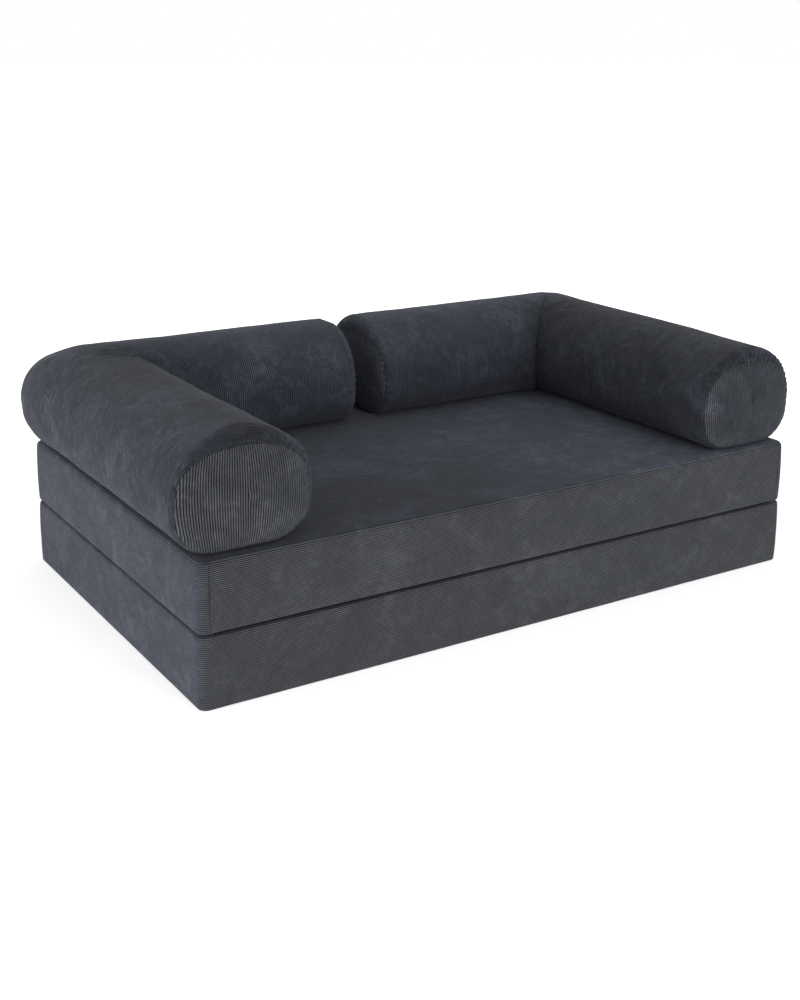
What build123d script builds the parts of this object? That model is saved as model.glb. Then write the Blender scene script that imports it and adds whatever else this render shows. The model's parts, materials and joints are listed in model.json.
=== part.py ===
from build123d import *
import os
from math import atan, cos, sin, sqrt

# Folding floor sofa bed: two boxed foam sections joined by a fabric hinge along the front,
# and two loose L-shaped bolsters that make its back and arms. Millimetres.
# The origin is on the floor under the middle of the folded sofa, +X to the sitter's left, +Y to the back, +Z up.

# Driving sizes of the two sections
sofa_width = 1480.0
sofa_depth = 914.0
section_thickness = 148.5
section_corner = 26.0
side_draw = 4.0
floor_round = 10.0
mating_round = 6.0
seat_round = 12.0
rim_depth = 20.0
fold_gap = 0.6

# The seat's swell between the arms
crown_rise = 3.0
crown_length = 980.0
crown_width = 600.0
crown_front_margin = 16.0
crown_root = 2.0

# Driving sizes of the bolsters
bolster_half_width = 140.0
bolster_crown_height = 129.0
bolster_flat_drop = 108.0
bolster_sag_round = 78.0
bolster_hip_reach = 186.0
bolster_hip_lift = 2.0
bolster_cap_bulge = 14.0
bolster_cap_round = 18.0
bolster_brow_round = 42.0
bolster_brow_lift = 1.0
bolster_side_overhang = 41.0
bolster_back_inset = 2.0
bolster_front_inset = 8.0
bolster_middle_gap = 46.0
bolster_seat_gap = 0.3
core_mitre_gap = 0.6

# Cloth and foam
cover_thickness = 2.5
core_clearance = 0.3
base_thickness = 2.0
base_edge_clearance = 0.3
hinge_leaf_thickness = 1.0
hinge_leaf_clearance = 0.3
hinge_fold_clearance = 0.3

# Zip closures
zip_slit_height = 5.0
zip_section_length = 1180.0
zip_bolster_length = 420.0
zip_bolster_end_margin = 70.0
tape_height = 15.0
tape_thickness = 0.7
tape_clearance = 0.4
tape_end_overlap = 12.0
tape_pocket_clearance = 0.5
chain_height = 4.0
chain_proud = 0.9
chain_end_clearance = 0.5

# Zip slider, the bail over it and the pull that turns in the bail
slider_length = 11.0
slider_height = 8.0
slider_thickness = 3.0
slider_round = 2.0
slider_clearance = 0.25
slider_end_margin = 34.0
bail_width = 3.2
bail_length = 7.2
bail_height = 4.0
bail_wire = 1.3
bail_corner = 1.4
pull_length = 26.0
pull_width = 6.6
pull_thickness = 1.2
pull_round = 2.5
pull_bar = 1.8
pull_eye_length = 3.6
pull_eye_width = 4.2
pull_grip_length = 12.0
pull_grip_width = 3.0
pull_grip_margin = 3.0

# One overrun for every cut
overrun = 20.0

# Levels and places that follow
fold_height = section_thickness
seat_height = 2 * section_thickness - crown_rise
lower_top = fold_height - fold_gap / 2
upper_bottom = fold_height + fold_gap / 2
core_inset = cover_thickness + core_clearance
half_width = sofa_width / 2
half_depth = sofa_depth / 2
bolster_axis_height = seat_height + bolster_seat_gap + bolster_flat_drop
bolster_axis_x = half_width + bolster_side_overhang - bolster_half_width
bolster_axis_y = half_depth - bolster_back_inset - bolster_half_width
bolster_back_face = bolster_axis_y + bolster_half_width
side_arm_length = bolster_axis_y + half_depth - bolster_front_inset
back_arm_length = bolster_axis_x - bolster_middle_gap / 2
cap_sphere_radius = (bolster_half_width**2 + bolster_cap_bulge**2) / (2 * bolster_cap_bulge)

os.makedirs("parts", exist_ok=True)


def finish(part, name):
    """Labels a finished piece and writes it."""
    part.label = name
    export_step(part, f"parts/{name}.step")


def section_form(low, high, low_round, high_round, inset):
    """A boxed section drawn in by inset, with sides that swell between their sewn edges."""
    with BuildSketch() as outline:
        RectangleRounded(sofa_width, sofa_depth, section_corner)
    path = outline.sketch.wires()[0]
    along = path % 0
    rim_plane = Plane(origin=path @ 0, x_dir=along.cross(Vector(0, 0, 1)), z_dir=-along)
    bottom = low + inset
    top = high - inset
    edge = -(side_draw + inset)
    with BuildPart() as form:
        with BuildSketch(rim_plane) as rim:
            with BuildLine():
                Polyline((edge, bottom), (-rim_depth, bottom), (-rim_depth, top), (edge, top))
                ThreePointArc((edge, top), (-inset, (bottom + top) / 2), (edge, bottom))
            make_face()
            fillet(rim.vertices().sort_by(Axis.Y)[:2].sort_by(Axis.X)[-1], low_round - inset)
            fillet(rim.vertices().sort_by(Axis.Y)[-2:].sort_by(Axis.X)[-1], high_round - inset)
        sweep(path=path)
        with BuildSketch(Plane.XY.offset(bottom)):
            RectangleRounded(
                sofa_width - 2 * rim_depth, sofa_depth - 2 * rim_depth, section_corner - rim_depth
            )
        extrude(amount=top - bottom)
    return form.part


def seat_crown(inset):
    """The low swell of the seat: an arched stretch with half a dome at each end."""
    reach = crown_width / 2
    middle = -half_depth + crown_front_margin + reach
    base = seat_height - inset
    straight = crown_length / 2 - reach
    with BuildPart() as crown:
        with BuildSketch(Plane.YZ):
            with BuildLine():
                ThreePointArc((middle - reach, base), (middle, base + crown_rise), (middle + reach, base))
                Polyline(
                    (middle + reach, base),
                    (middle + reach, base - crown_root),
                    (middle - reach, base - crown_root),
                    (middle - reach, base),
                )
            make_face()
        extrude(amount=straight, both=True)
        for side in (-1, 1):
            with BuildSketch(Plane.YZ.offset(side * straight)) as half_segment:
                with BuildLine():
                    ThreePointArc((middle - reach, base), (middle, base + crown_rise), (middle + reach, base))
                    Polyline(
                        (middle + reach, base),
                        (middle + reach, base - crown_root),
                        (middle - reach, base - crown_root),
                        (middle - reach, base),
                    )
                make_face()
                with Locations((middle, base)):
                    Rectangle(
                        2 * reach, 2 * reach, align=(Align.MAX, Align.CENTER), mode=Mode.SUBTRACT
                    )
            revolve(axis=Axis((side * straight, middle, 0), (0, 0, 1)), revolution_arc=-side * 180)
    return crown.part


def bolster_profile(half_width, crown_height, inset):
    """A bolster's section, centred on the axis: oval above, sagged to a flat underside below."""
    reach = half_width - inset
    crown = crown_height - inset
    drop = bolster_flat_drop - inset
    with BuildSketch() as profile:
        Ellipse(reach, crown)
        Rectangle(2 * reach, drop, align=(Align.CENTER, Align.MAX))
        with Locations((0, -drop)):
            Rectangle(2 * reach, crown, align=(Align.CENTER, Align.MAX), mode=Mode.SUBTRACT)
        fillet(profile.vertices().sort_by(Axis.Y)[:2], bolster_sag_round - inset)
    return profile.sketch


def bolster_arm(plane, length, inset):
    """A straight arm out from the corner, with a swollen end cap inside a rounded rim and a rounder brow above it."""
    upright = Plane(origin=plane.origin, x_dir=plane.z_dir, z_dir=-plane.x_dir)
    brow_end = length - inset + bolster_brow_lift
    brow_top = bolster_crown_height - inset + bolster_brow_lift
    with BuildPart() as arm:
        with BuildSketch(plane):
            add(bolster_profile(bolster_half_width, bolster_crown_height, inset))
        extrude(amount=length)
        with Locations(plane.offset(length - cap_sphere_radius).origin):
            Sphere(cap_sphere_radius - inset, mode=Mode.INTERSECT)
        fillet(arm.faces().filter_by(GeomType.SPHERE).edges(), bolster_cap_round - inset)
        with BuildSketch(upright) as brow:
            with Locations((brow_end, brow_top)):
                Rectangle(brow_end + overrun, brow_top + bolster_crown_height, align=(Align.MAX, Align.MAX))
            front = brow.vertices().sort_by(upright.location.x_axis)[-2:]
            fillet(front.sort_by(Axis.Z)[-1], bolster_brow_round - inset)
        extrude(amount=bolster_half_width + overrun, both=True, mode=Mode.INTERSECT)
    return arm.part


def bolster_form(inset):
    """The left bolster: a side arm and a back arm that meet in a mitre, creased inside and softened outside."""
    corner = (-bolster_axis_x, bolster_axis_y, bolster_axis_height)
    side_plane = Plane(origin=corner, x_dir=(1, 0, 0), z_dir=(0, -1, 0))
    back_plane = Plane(origin=corner, x_dir=(0, 1, 0), z_dir=(1, 0, 0))
    with BuildPart() as hip:
        with BuildSketch(side_plane):
            add(bolster_profile(bolster_hip_reach, bolster_crown_height + bolster_hip_lift, inset))
            Rectangle(2 * bolster_hip_reach, 2 * bolster_hip_reach, align=(Align.MIN, Align.CENTER), mode=Mode.SUBTRACT)
        revolve(axis=Axis(corner, (0, 0, 1)), revolution_arc=-90)
        for plane in (side_plane, back_plane):
            with BuildSketch(plane):
                add(bolster_profile(bolster_half_width, bolster_crown_height, inset))
            extrude(amount=-bolster_hip_reach, mode=Mode.INTERSECT)
    with BuildPart() as form:
        add(bolster_arm(side_plane, side_arm_length, inset))
        add(bolster_arm(back_plane, back_arm_length, inset))
        add(hip.part)
    return form.part


def zip_tape(middle, face, level, length):
    """Tape behind the cover's slit, with its closed chain showing in the slit."""
    tape_face = face - cover_thickness - tape_clearance
    with BuildPart() as tape:
        with BuildSketch(Plane.XZ.offset(-tape_face)):
            with Locations((middle, level)):
                Rectangle(length + 2 * tape_end_overlap, tape_height)
        extrude(amount=tape_thickness)
        with BuildSketch(Plane.XZ.offset(-tape_face)):
            with Locations((middle, level)):
                SlotOverall(length - 2 * chain_end_clearance, chain_height)
        extrude(amount=-(cover_thickness + tape_clearance + chain_proud))
    return tape.part


def zip_slit(middle, face, level, length):
    """The cut through the cover that the chain shows in."""
    with BuildPart() as slit:
        with BuildSketch(Plane.XZ.offset(-(face + overrun))):
            with Locations((middle, level)):
                SlotOverall(length, zip_slit_height)
        extrude(amount=overrun + 2 * cover_thickness)
    return slit.part


def tape_pocket(middle, face, level, length):
    """The room that the soft core gives the tape."""
    depth = core_inset + tape_clearance + tape_thickness + tape_pocket_clearance
    with BuildPart() as pocket:
        with BuildSketch(Plane.XZ.offset(-(face + overrun))):
            with Locations((middle, level)):
                Rectangle(
                    length + 2 * tape_end_overlap + 2 * tape_pocket_clearance,
                    tape_height + 2 * tape_pocket_clearance,
                )
        extrude(amount=overrun + depth)
    return pocket.part


def zip_slider(place, face, level):
    """Slider body astride the chain, with the bail that carries the pull."""
    slider_base = face + slider_clearance
    with BuildPart() as slider:
        with BuildSketch(Plane.XZ.offset(-slider_base)):
            with Locations((place, level)):
                RectangleRounded(slider_length, slider_height, slider_round)
        extrude(amount=-slider_thickness)
        with BuildSketch(Plane.XZ.offset(-(slider_base - overrun))):
            with Locations((place, level)):
                Rectangle(slider_length + overrun, chain_height + 2 * slider_clearance)
        extrude(amount=-(overrun + chain_proud), mode=Mode.SUBTRACT)
        with BuildSketch(Plane.XY.offset(level)):
            with Locations((place, slider_base + slider_thickness)):
                RectangleRounded(bail_length, 2 * bail_height, bail_corner)
                Rectangle(bail_length - 2 * bail_wire, 2 * (bail_height - bail_wire), mode=Mode.SUBTRACT)
                Rectangle(bail_length, bail_height, align=(Align.CENTER, Align.MAX), mode=Mode.SUBTRACT)
        extrude(amount=bail_width / 2, both=True)
    return slider.part


def pull_axis_place(face):
    """How far back the pull's turning line lies, in the middle of the bail's opening."""
    return face + slider_clearance + slider_thickness + (bail_height - bail_wire) / 2


def zip_pull(place, face, level, toward):
    """Flat pull that lies along the chain and turns about the bar of its eye."""
    eye_middle = (pull_bar + pull_eye_length) / 2
    plate_middle = (pull_length - pull_bar) / 2
    grip_middle = pull_length - pull_bar / 2 - pull_grip_margin - pull_grip_length / 2
    with BuildPart() as pull:
        with BuildSketch(Plane.XZ.offset(-(pull_axis_place(face) - pull_thickness / 2))):
            with Locations((place + toward * plate_middle, level)):
                RectangleRounded(pull_length, pull_width, pull_round)
            with Locations((place + toward * eye_middle, level)):
                Rectangle(pull_eye_length, pull_eye_width, mode=Mode.SUBTRACT)
            with Locations((place + toward * grip_middle, level)):
                SlotOverall(pull_grip_length, pull_grip_width, mode=Mode.SUBTRACT)
        extrude(amount=-pull_thickness)
    return pull.part


# Each zip: the middle of its slit, the face that it lies in, its level and its length
section_zip_levels = {"lower": lower_top / 2, "upper": (upper_bottom + seat_height) / 2}
section_zips = {name: (0.0, half_depth, level, zip_section_length) for name, level in section_zip_levels.items()}
bolster_zip_middle = zip_bolster_end_margin + bolster_middle_gap / 2 + zip_bolster_length / 2
bolster_zips = {
    side: (sign * bolster_zip_middle, bolster_back_face, bolster_axis_height, zip_bolster_length)
    for side, sign in {"left": -1, "right": 1}.items()
}

# Lower section, with the grip panel that stands on the floor
lower_zip = section_zips["lower"]
lower_levels = (0.0, lower_top, floor_round, mating_round)
lower_inside = section_form(*lower_levels, cover_thickness)
lower_foam = section_form(*lower_levels, core_inset)
base_inset = side_draw + floor_round

with BuildPart() as lower_cover:
    add(section_form(*lower_levels, 0.0))
    add(lower_inside, mode=Mode.SUBTRACT)
    add(zip_slit(*lower_zip), mode=Mode.SUBTRACT)
    with BuildSketch(Plane.XY):
        RectangleRounded(
            sofa_width - 2 * base_inset, sofa_depth - 2 * base_inset, section_corner - base_inset
        )
    extrude(amount=cover_thickness, mode=Mode.SUBTRACT)
finish(lower_cover.part, "lower_cover")

with BuildPart() as nonslip_base:
    with BuildSketch(Plane.XY):
        RectangleRounded(
            sofa_width - 2 * (base_inset + base_edge_clearance),
            sofa_depth - 2 * (base_inset + base_edge_clearance),
            section_corner - base_inset - base_edge_clearance,
        )
    extrude(amount=base_thickness)
finish(nonslip_base.part, "nonslip_base")

with BuildPart() as lower_core:
    add(lower_foam)
    add(tape_pocket(*lower_zip), mode=Mode.SUBTRACT)
finish(lower_core.part, "lower_foam_core")

# Upper section, whose crowned top is the seat
upper_zip = section_zips["upper"]
upper_levels = (upper_bottom, seat_height, mating_round, seat_round)
upper_inside = section_form(*upper_levels, cover_thickness)
upper_foam = section_form(*upper_levels, core_inset)

with BuildPart() as upper_cover:
    add(section_form(*upper_levels, 0.0))
    add(seat_crown(0.0))
    add(upper_inside, mode=Mode.SUBTRACT)
    add(seat_crown(cover_thickness), mode=Mode.SUBTRACT)
    add(zip_slit(*upper_zip), mode=Mode.SUBTRACT)
finish(upper_cover.part, "upper_cover")

with BuildPart() as upper_core:
    add(upper_foam)
    add(seat_crown(core_inset))
    add(tape_pocket(*upper_zip), mode=Mode.SUBTRACT)
finish(upper_core.part, "upper_foam_core")

# Fabric hinge along the front, in two leaves that meet at the fold line, each clear of its rounded edge
side_tilt = 2 * atan(2 * side_draw / lower_top)
edge_round_middle = side_draw + mating_round * (1 - sin(side_tilt)) / cos(side_tilt)
leaf_drop = hinge_leaf_thickness + hinge_leaf_clearance
leaf_reach = edge_round_middle - sqrt(mating_round**2 - (mating_round - leaf_drop) ** 2) - hinge_leaf_clearance
leaf_length = sofa_width - 2 * section_corner
for leaf_name, leaf_bottom in {
    "hinge_lower_leaf": lower_top - hinge_leaf_thickness,
    "hinge_upper_leaf": upper_bottom,
}.items():
    with BuildPart() as hinge_leaf:
        with BuildSketch(Plane.XY.offset(leaf_bottom)):
            with Locations((0, -half_depth)):
                Rectangle(leaf_length, leaf_reach, align=(Align.CENTER, Align.MIN))
        extrude(amount=hinge_leaf_thickness)
    finish(hinge_leaf.part, leaf_name)

# Left bolster, then its mirror image on the right
bolster_foam = bolster_form(core_inset)
left_zip = bolster_zips["left"]
mitre_plane = Plane(
    origin=(-bolster_axis_x, bolster_axis_y, bolster_axis_height), x_dir=(0, 0, 1), z_dir=(1, 1, 0)
)

with BuildPart() as left_cover:
    add(bolster_form(0.0))
    add(bolster_form(cover_thickness), mode=Mode.SUBTRACT)
    add(zip_slit(*left_zip), mode=Mode.SUBTRACT)

with BuildPart() as left_back_core:
    add(bolster_foam)
    add(tape_pocket(*left_zip), mode=Mode.SUBTRACT)
    split(bisect_by=mitre_plane.offset(core_mitre_gap / 2), keep=Keep.TOP)

with BuildPart() as left_side_core:
    add(bolster_foam)
    split(bisect_by=mitre_plane.offset(-core_mitre_gap / 2), keep=Keep.BOTTOM)

bolster_pieces = {
    "bolster_cover": left_cover.part,
    "bolster_back_core": left_back_core.part,
    "bolster_side_core": left_side_core.part,
}
for piece_name, left_piece in bolster_pieces.items():
    with BuildPart() as right_piece:
        mirror(left_piece, about=Plane.YZ)
    finish(left_piece, f"left_{piece_name}")
    finish(right_piece.part, f"right_{piece_name}")

# Zips: tape with chain, slider and pull, each at the closed end of its chain
for zip_name, (zip_middle, zip_face, zip_level, zip_length) in (section_zips | bolster_zips).items():
    closed_sign = -1 if zip_name == "right" else 1
    slider_place = zip_middle + closed_sign * (zip_length / 2 - slider_end_margin)
    finish(zip_tape(zip_middle, zip_face, zip_level, zip_length), f"{zip_name}_zip_tape")
    finish(zip_slider(slider_place, zip_face, zip_level), f"{zip_name}_zip_slider")
    finish(zip_pull(slider_place, zip_face, zip_level, closed_sign), f"{zip_name}_zip_pull")
    print(
        f"{zip_name} slider at x {slider_place:.1f}, travel {zip_length - 2 * slider_end_margin:.1f},",
        f"pull axis y {pull_axis_place(zip_face):.2f} z {zip_level:.2f}",
    )
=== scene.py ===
import json
import math
import bmesh
import bpy
from mathutils import Matrix, Vector, noise


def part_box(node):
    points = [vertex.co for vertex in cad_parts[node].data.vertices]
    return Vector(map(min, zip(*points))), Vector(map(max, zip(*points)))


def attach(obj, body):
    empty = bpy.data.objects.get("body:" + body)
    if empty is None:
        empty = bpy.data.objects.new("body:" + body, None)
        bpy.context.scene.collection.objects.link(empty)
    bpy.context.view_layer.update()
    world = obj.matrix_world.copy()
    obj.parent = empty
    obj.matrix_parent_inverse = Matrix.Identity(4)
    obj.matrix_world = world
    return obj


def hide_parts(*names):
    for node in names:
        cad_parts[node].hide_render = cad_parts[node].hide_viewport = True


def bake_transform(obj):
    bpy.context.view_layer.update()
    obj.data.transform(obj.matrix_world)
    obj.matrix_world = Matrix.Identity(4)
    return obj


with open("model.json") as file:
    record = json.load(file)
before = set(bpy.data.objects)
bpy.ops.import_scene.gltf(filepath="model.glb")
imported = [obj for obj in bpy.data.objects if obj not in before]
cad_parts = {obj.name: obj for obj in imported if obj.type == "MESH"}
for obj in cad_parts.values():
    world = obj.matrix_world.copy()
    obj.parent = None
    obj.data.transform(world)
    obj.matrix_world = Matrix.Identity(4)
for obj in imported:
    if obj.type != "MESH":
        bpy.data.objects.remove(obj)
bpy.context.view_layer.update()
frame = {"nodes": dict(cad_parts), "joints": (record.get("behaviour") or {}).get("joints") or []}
nodes = frame["nodes"]
print("frame loaded")

# Folding sofa bed in ribbed corduroy: metres, +X to the sitter's left, +Y to the back, +Z up

slant = 0.7071              # a step along a diagonal

weave = {
    "ribPitch": 0.0047,     # the real ribs are 3.35 mm apart, drawn coarser so that they show from a step away
    "ribDepth": 0.0014,
    "wander": 0.0006,       # how far the ribs stray sideways
}

section = {
    "corner": 0.018,        # upright corners
    "bulge": 0.002,         # how far the sides swell between their sewn edges
    "spread": (0.006, 0.014),    # how far the cloth stands proud of the foam: left, right
    "floorRound": 0.004,
    "matingRound": 0.008,
    "seatRound": 0.012,
    "crown": 0.003,
    "grid": 0.011,          # size of the mesh squares
    "unevenness": 0.0009,
    "ribShare": 0.8,        # the sections' ribs are drawn this much finer than the bolsters'
    "margin": 0.03,         # the stretch beside each edge that the even cuts leave out
    "seamInset": 0.022,     # the upright seams' distance from the ends of the front
    "zipHalf": 0.592,       # half the length of the groove along the zip
    "zipGroove": 0.0016,    # and its depth
    "zipCut": 0.003,        # between the cuts that the groove bends along
    "sideBand": 0.012,      # what lies nearer the outline than this belongs to the sides
    "fineUnevenness": 0.0004,
    "slack": 0.0006,        # how far the middle of each side lies in
    "edgePull": 0.0008,     # how far the sewn edges are drawn in between their gathers
    "crownHalf": 0.19,      # the seat's raised stretch: half its width, its line from the front, how wide it fades
    "crownLine": 0.316,
    "crownFade": 0.3,
    "seatRipple": 0.0012,
}

bolster = {
    "half": 0.140,          # half the section's width
    "crown": 0.129,         # height of its top over the axis
    "sagRound": 0.078,
    "drop": 0.108,
    "hipReach": 0.183,      # from the corner's axis out to the softened hip
    "brow": 0.042,          # rounding over the top of each cap
    "capBulge": 0.014,
    "capRound": 0.018,
    "inset": 0.002,         # the shell starts smaller, because it swells
    "around": 104,          # points round the section
    "cornerZone": 0.20,     # the stretch of each arm whose rows fan out from the mitre
    "cornerRows": 26,
    "rowStep": 0.008,
    "capRows": 12,
    "pressure": 4.0,
    "swell": 0.0035,        # the most that the simulation may move a point
    "thinnest": -0.004,     # how deep a fold may sink, clear of the foam
    "fullest": 0.008,
    "hipFill": 0.009,       # the outer corner is stuffed fuller than the arms
    "capFill": 0.009,       # and so is the inner side beside the side arm's cap
    "foamInset": 0.0075,
    "relief": 0.6,          # how much of the simulated height is kept
    "foldCentre": (0.085, -0.085, 0.103),    # the top of the inner crease, from the corner's axis
    "foldCount": 30,
    "pleatPitch": 0.015,
    "zipMiddle": -0.303,    # the left bolster's zip along X
    "zipHalf": 0.21,
    "heldRim": 0.003,       # what the simulation holds: beside the rims, beside the crease, above the seat
    "heldCrease": 0.004,
    "heldBase": 0.006,
    "lump": 0.0014,
    "smallLump": 0.0006,
    "lift": 0.0006,
    "armPleat": 0.0034,     # gathers along the rim, on the arm's side and on the cap's
    "capPleat": 0.0013,
    "foldDepth": (0.0030, 0.0008),    # of the crumpled bolster, and of the other
    "notch": 0.06,          # how far out the crumpled one's crease begins
    "creaseRidge": 0.0022,  # the cloth stands up beside the crease
    "endSag": 0.0045,
}

camera = {
    "place": (-1.7195, -2.670, 1.239),
    "yaw": 32.33,
    "pitch": 12.93,
    "roll": 0.43,
    "focal": 1418.0,        # in pixels of an image 1000 high
    "shiftY": -0.15,
    "film": 36,             # sensor width in millimetres
    "imageHeight": 1000,
}


def srgb(hexColour):
    # sRGB hex to linear light
    parts = [int(hexColour[i:i + 2], 16) / 255 for i in (1, 3, 5)]
    return tuple(c / 12.92 if c <= 0.04045 else ((c + 0.055) / 1.055) ** 2.4 for c in parts) + (1.0,)


def newMaterial(name):
    material = bpy.data.materials.new(name)
    material.use_nodes = True
    material.node_tree.nodes.clear()
    return material


def addNode(owner, kind, inputs=None, **settings):
    # one node of a material or world: its settings, then its inputs, each a value or another node's output
    node = owner.node_tree.nodes.new(kind)
    for key, value in settings.items():
        setattr(node, key, value)
    for key, value in (inputs or {}).items():
        if isinstance(value, bpy.types.NodeSocket):
            owner.node_tree.links.new(value, node.inputs[key])
        else:
            node.inputs[key].default_value = value
    return node


def rampStops(node, stops):
    ramp = node.color_ramp
    while len(ramp.elements) > 1:
        ramp.elements.remove(ramp.elements[-1])
    ramp.elements[0].position, ramp.elements[0].color = stops[0]
    for position, colour in stops[1:]:
        ramp.elements.new(position).color = colour
    return node


def corduroyMaterial(name, dark, mid, light, streakLow, streakHigh):
    # Brushed cotton corduroy: a cut pile in ribs. The ribs' lit crests and shaded valleys are painted into the
    # colour, a painted highlight and painted shade over the ribs' bump, and the pile lies light or dark in soft
    # clouds and streaks where it has been stroked.
    m = newMaterial(name)
    uv = addNode(m, "ShaderNodeUVMap", uv_map="weave")
    place = addNode(m, "ShaderNodeTexCoord")
    split = addNode(m, "ShaderNodeSeparateXYZ", {"Vector": uv.outputs["UV"]})
    wander = addNode(m, "ShaderNodeTexNoise", {"Vector": place.outputs["Object"], "Scale": 24.0, "Detail": 2.0})
    shift = addNode(m, "ShaderNodeMath", {0: wander.outputs["Fac"], 1: weave["wander"] * 4}, operation="MULTIPLY")
    across = addNode(m, "ShaderNodeMath", {0: split.outputs["X"], 1: shift.outputs[0]}, operation="ADD")
    phase = addNode(m, "ShaderNodeMath",
        {0: across.outputs[0], 1: 2 * math.pi / weave["ribPitch"]}, operation="MULTIPLY")
    wave = addNode(m, "ShaderNodeMath", {0: phase.outputs[0]}, operation="SINE")
    rib = addNode(m, "ShaderNodeMapRange",
        {"Value": wave.outputs[0], "From Min": -1.0, "From Max": 0.55}, interpolation_type="SMOOTHSTEP")
    # short pile: a fine grain, and small tufts that lie lighter or darker
    grain = addNode(m, "ShaderNodeTexNoise", {"Vector": place.outputs["Object"], "Scale": 900.0, "Detail": 1.0})
    tufts = addNode(m, "ShaderNodeTexNoise",
        {"Vector": place.outputs["Object"], "Scale": 150.0, "Detail": 3.0, "Roughness": 0.7})
    clouds = addNode(m, "ShaderNodeTexNoise",
        {"Vector": place.outputs["Object"], "Scale": 8.0, "Detail": 5.0, "Roughness": 0.62, "Distortion": 0.7})
    strokeUv = addNode(m, "ShaderNodeMapping", {"Vector": uv.outputs["UV"], "Scale": (75.0, 26.0, 1.0)})
    strokes = addNode(m, "ShaderNodeTexNoise",
        {"Vector": strokeUv.outputs["Vector"], "Scale": 1.0, "Detail": 4.0, "Roughness": 0.65, "Distortion": 1.2})
    patches = addNode(m, "ShaderNodeTexNoise",
        {"Vector": place.outputs["Object"], "Scale": 27.0, "Detail": 4.0, "Roughness": 0.65, "Distortion": 1.3})
    brushed = addNode(m, "ShaderNodeMath", {0: clouds.outputs["Fac"], 1: 0.36}, operation="MULTIPLY")
    for texture, share in ((patches, 0.34), (strokes, 0.15), (tufts, 0.15)):
        brushed = addNode(m, "ShaderNodeMath",
            {0: texture.outputs["Fac"], 1: share, 2: brushed.outputs[0]}, operation="MULTIPLY_ADD")
    # how the pile lies on each panel is kept on the mesh: its tone, which also carries painted light and shade, how
    # far it is brushed about, and how warm and strong the painted light and shade of its ribs are
    nap = addNode(m, "ShaderNodeSeparateXYZ", {"Vector": addNode(m, "ShaderNodeUVMap", uv_map="nap").outputs["UV"]})
    brush = addNode(m, "ShaderNodeSeparateXYZ",
        {"Vector": addNode(m, "ShaderNodeUVMap", uv_map="brush").outputs["UV"]})
    ridge = addNode(m, "ShaderNodeSeparateXYZ",
        {"Vector": addNode(m, "ShaderNodeUVMap", uv_map="ridges").outputs["UV"]})
    level = (streakLow + streakHigh) / 2
    away = addNode(m, "ShaderNodeMath", {0: brushed.outputs[0], 1: level}, operation="SUBTRACT")
    lying = addNode(m, "ShaderNodeMath",
        {0: away.outputs[0], 1: brush.outputs["X"], 2: level}, operation="MULTIPLY_ADD")
    smooth = addNode(m, "ShaderNodeValToRGB", {"Fac": lying.outputs[0]})
    rampStops(smooth, [(streakLow, srgb(dark)), (level, srgb(mid)), (streakHigh, srgb(light))])
    scuffUv = addNode(m, "ShaderNodeMapping", {"Vector": uv.outputs["UV"], "Scale": (110.0, 32.0, 1.0)})
    scuffs = addNode(m, "ShaderNodeTexNoise",
        {"Vector": scuffUv.outputs["Vector"], "Scale": 1.0, "Detail": 4.0, "Roughness": 0.7, "Distortion": 1.4})
    scuffed = addNode(m, "ShaderNodeMapRange", {"Value": scuffs.outputs["Fac"], "From Min": 0.54, "From Max": 0.72})
    scuffLevel = addNode(m, "ShaderNodeMath",
        {0: scuffed.outputs["Result"], 1: brush.outputs["Y"]}, operation="MULTIPLY")
    tone = addNode(m, "ShaderNodeMix",
        {"Factor": scuffLevel.outputs[0], "A": smooth.outputs["Color"], "B": srgb("#878c98")}, data_type="RGBA")
    # painted light on the ribs: the crests are multiplied lighter as a painted highlight, warm or cool by panel, and
    # the valleys darker as painted shade
    crestHighlight = addNode(m, "ShaderNodeMix",
        {"Factor": ridge.outputs["X"], "A": (1.20, 1.24, 1.36, 1.0), "B": (1.48, 1.42, 1.24, 1.0)}, data_type="RGBA")
    valleyShade = addNode(m, "ShaderNodeMix",
        {"Factor": rib.outputs["Result"], "A": (0.20, 0.21, 0.25, 1.0), "B": crestHighlight.outputs["Result"]},
        data_type="RGBA")
    clear = addNode(m, "ShaderNodeMix",
        {"Factor": ridge.outputs["Y"], "A": (0.78, 0.80, 0.86, 1.0), "B": valleyShade.outputs["Result"]},
        data_type="RGBA", clamp_factor=False)
    ribShaded = addNode(m, "ShaderNodeMix",
        {"Factor": 1.0, "A": tone.outputs["Result"], "B": clear.outputs["Result"]},
        data_type="RGBA", blend_type="MULTIPLY")
    napAndShaded = addNode(m, "ShaderNodeMix",
        {"Factor": 1.0, "A": ribShaded.outputs["Result"], "B": nap.outputs["X"]},
        data_type="RGBA", blend_type="MULTIPLY")
    height = addNode(m, "ShaderNodeMath",
        {0: grain.outputs["Fac"], 1: 0.18, 2: rib.outputs["Result"]}, operation="MULTIPLY_ADD")
    bump = addNode(m, "ShaderNodeBump",
        {"Strength": 0.85, "Distance": weave["ribDepth"], "Height": height.outputs[0]})
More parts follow.
